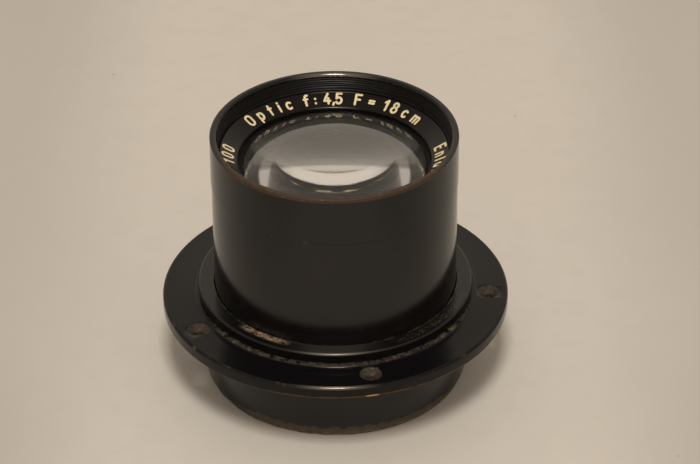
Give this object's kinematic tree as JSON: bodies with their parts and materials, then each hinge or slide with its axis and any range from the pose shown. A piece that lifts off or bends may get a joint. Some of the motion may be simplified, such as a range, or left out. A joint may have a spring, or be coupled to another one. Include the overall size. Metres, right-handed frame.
{
  "type": "enlarger lens",
  "caption": "Black barrel lens for an enlarger with a turning aperture sleeve, a leaf iris, cemented and single glass elements and a drilled mounting flange.",
  "frame": {"origin": "on the optical axis, at the rear tube's end face, on which the lens stands", "axes": "+Z along the optical axis out of the front glass; the drive screw faces +Y with the iris open; +X completes the frame"},
  "size_m": [0.0812, 0.0812, 0.0634],
  "materials": {
    "black_lacquer": "satin black lacquer on brass, worn brown at the edges",
    "matt_black": "matt black anti-reflection paint on turned brass",
    "blued_steel": "thin blued spring steel",
    "brass": "turned brass",
    "steel": "turned steel screw",
    "optical_glass": "polished uncoated optical glass"
  },
  "bodies": {
    "barrel": {"mount_tube": "black_lacquer", "mounting_flange": "black_lacquer", "barrel_tube": "black_lacquer", "name_ring": "black_lacquer", "iris_base_ring": "matt_black", "iris_retaining_ring": "matt_black", "front_cell": "matt_black", "front_element": "optical_glass", "middle_element": "optical_glass", "middle_retaining_ring": "matt_black", "rear_cell": "matt_black", "rear_doublet_front": "optical_glass", "rear_doublet_rear": "optical_glass", "rear_retaining_ring": "matt_black"},
    "aperture": {"aperture_sleeve": "black_lacquer", "drive_screw": "steel", "drive_arm": "brass", "cam_ring": "brass"},
    "blade_01": {"iris_blade_01": "blued_steel"},
    "blade_02": {"iris_blade_02": "blued_steel"},
    "blade_03": {"iris_blade_03": "blued_steel"},
    "blade_04": {"iris_blade_04": "blued_steel"},
    "blade_05": {"iris_blade_05": "blued_steel"},
    "blade_06": {"iris_blade_06": "blued_steel"},
    "blade_07": {"iris_blade_07": "blued_steel"},
    "blade_08": {"iris_blade_08": "blued_steel"},
    "blade_09": {"iris_blade_09": "blued_steel"},
    "blade_10": {"iris_blade_10": "blued_steel"},
    "blade_11": {"iris_blade_11": "blued_steel"},
    "blade_12": {"iris_blade_12": "blued_steel"}
  },
  "joints": [
    {"name": "aperture_turn", "type": "hinge", "parent": "barrel", "child": "aperture", "pos_m": [0, 0, 0.055], "axis": [0, 0, 1], "range_deg": [0, 48]},
    {"name": "blade_01_pivot", "type": "hinge", "parent": "barrel", "child": "blade_01", "pos_m": [0.025, 0, 0.0375], "axis": [0, 0, 1], "range_deg": [0, 33]},
    {"name": "blade_02_pivot", "type": "hinge", "parent": "barrel", "child": "blade_02", "pos_m": [0.02165, 0.0125, 0.03772], "axis": [0, 0, 1], "range_deg": [0, 33]},
    {"name": "blade_03_pivot", "type": "hinge", "parent": "barrel", "child": "blade_03", "pos_m": [0.0125, 0.02165, 0.03794], "axis": [0, 0, 1], "range_deg": [0, 33]},
    {"name": "blade_04_pivot", "type": "hinge", "parent": "barrel", "child": "blade_04", "pos_m": [0, 0.025, 0.03816], "axis": [0, 0, 1], "range_deg": [0, 33]},
    {"name": "blade_05_pivot", "type": "hinge", "parent": "barrel", "child": "blade_05", "pos_m": [-0.0125, 0.02165, 0.03838], "axis": [0, 0, 1], "range_deg": [0, 33]},
    {"name": "blade_06_pivot", "type": "hinge", "parent": "barrel", "child": "blade_06", "pos_m": [-0.02165, 0.0125, 0.0386], "axis": [0, 0, 1], "range_deg": [0, 33]},
    {"name": "blade_07_pivot", "type": "hinge", "parent": "barrel", "child": "blade_07", "pos_m": [-0.025, 0, 0.03882], "axis": [0, 0, 1], "range_deg": [0, 33]},
    {"name": "blade_08_pivot", "type": "hinge", "parent": "barrel", "child": "blade_08", "pos_m": [-0.02165, -0.0125, 0.03904], "axis": [0, 0, 1], "range_deg": [0, 33]},
    {"name": "blade_09_pivot", "type": "hinge", "parent": "barrel", "child": "blade_09", "pos_m": [-0.0125, -0.02165, 0.03926], "axis": [0, 0, 1], "range_deg": [0, 33]},
    {"name": "blade_10_pivot", "type": "hinge", "parent": "barrel", "child": "blade_10", "pos_m": [0, -0.025, 0.03948], "axis": [0, 0, 1], "range_deg": [0, 33]},
    {"name": "blade_11_pivot", "type": "hinge", "parent": "barrel", "child": "blade_11", "pos_m": [0.0125, -0.02165, 0.0397], "axis": [0, 0, 1], "range_deg": [0, 33]},
    {"name": "blade_12_pivot", "type": "hinge", "parent": "barrel", "child": "blade_12", "pos_m": [0.02165, -0.0125, 0.03992], "axis": [0, 0, 1], "range_deg": [0, 33]}
  ],
  "couplings": [
    {"joint": "blade_01_pivot", "follows": "aperture_turn", "ratio": 0.6875},
    {"joint": "blade_02_pivot", "follows": "aperture_turn", "ratio": 0.6875},
    {"joint": "blade_03_pivot", "follows": "aperture_turn", "ratio": 0.6875},
    {"joint": "blade_04_pivot", "follows": "aperture_turn", "ratio": 0.6875},
    {"joint": "blade_05_pivot", "follows": "aperture_turn", "ratio": 0.6875},
    {"joint": "blade_06_pivot", "follows": "aperture_turn", "ratio": 0.6875},
    {"joint": "blade_07_pivot", "follows": "aperture_turn", "ratio": 0.6875},
    {"joint": "blade_08_pivot", "follows": "aperture_turn", "ratio": 0.6875},
    {"joint": "blade_09_pivot", "follows": "aperture_turn", "ratio": 0.6875},
    {"joint": "blade_10_pivot", "follows": "aperture_turn", "ratio": 0.6875},
    {"joint": "blade_11_pivot", "follows": "aperture_turn", "ratio": 0.6875},
    {"joint": "blade_12_pivot", "follows": "aperture_turn", "ratio": 0.6875}
  ]
}
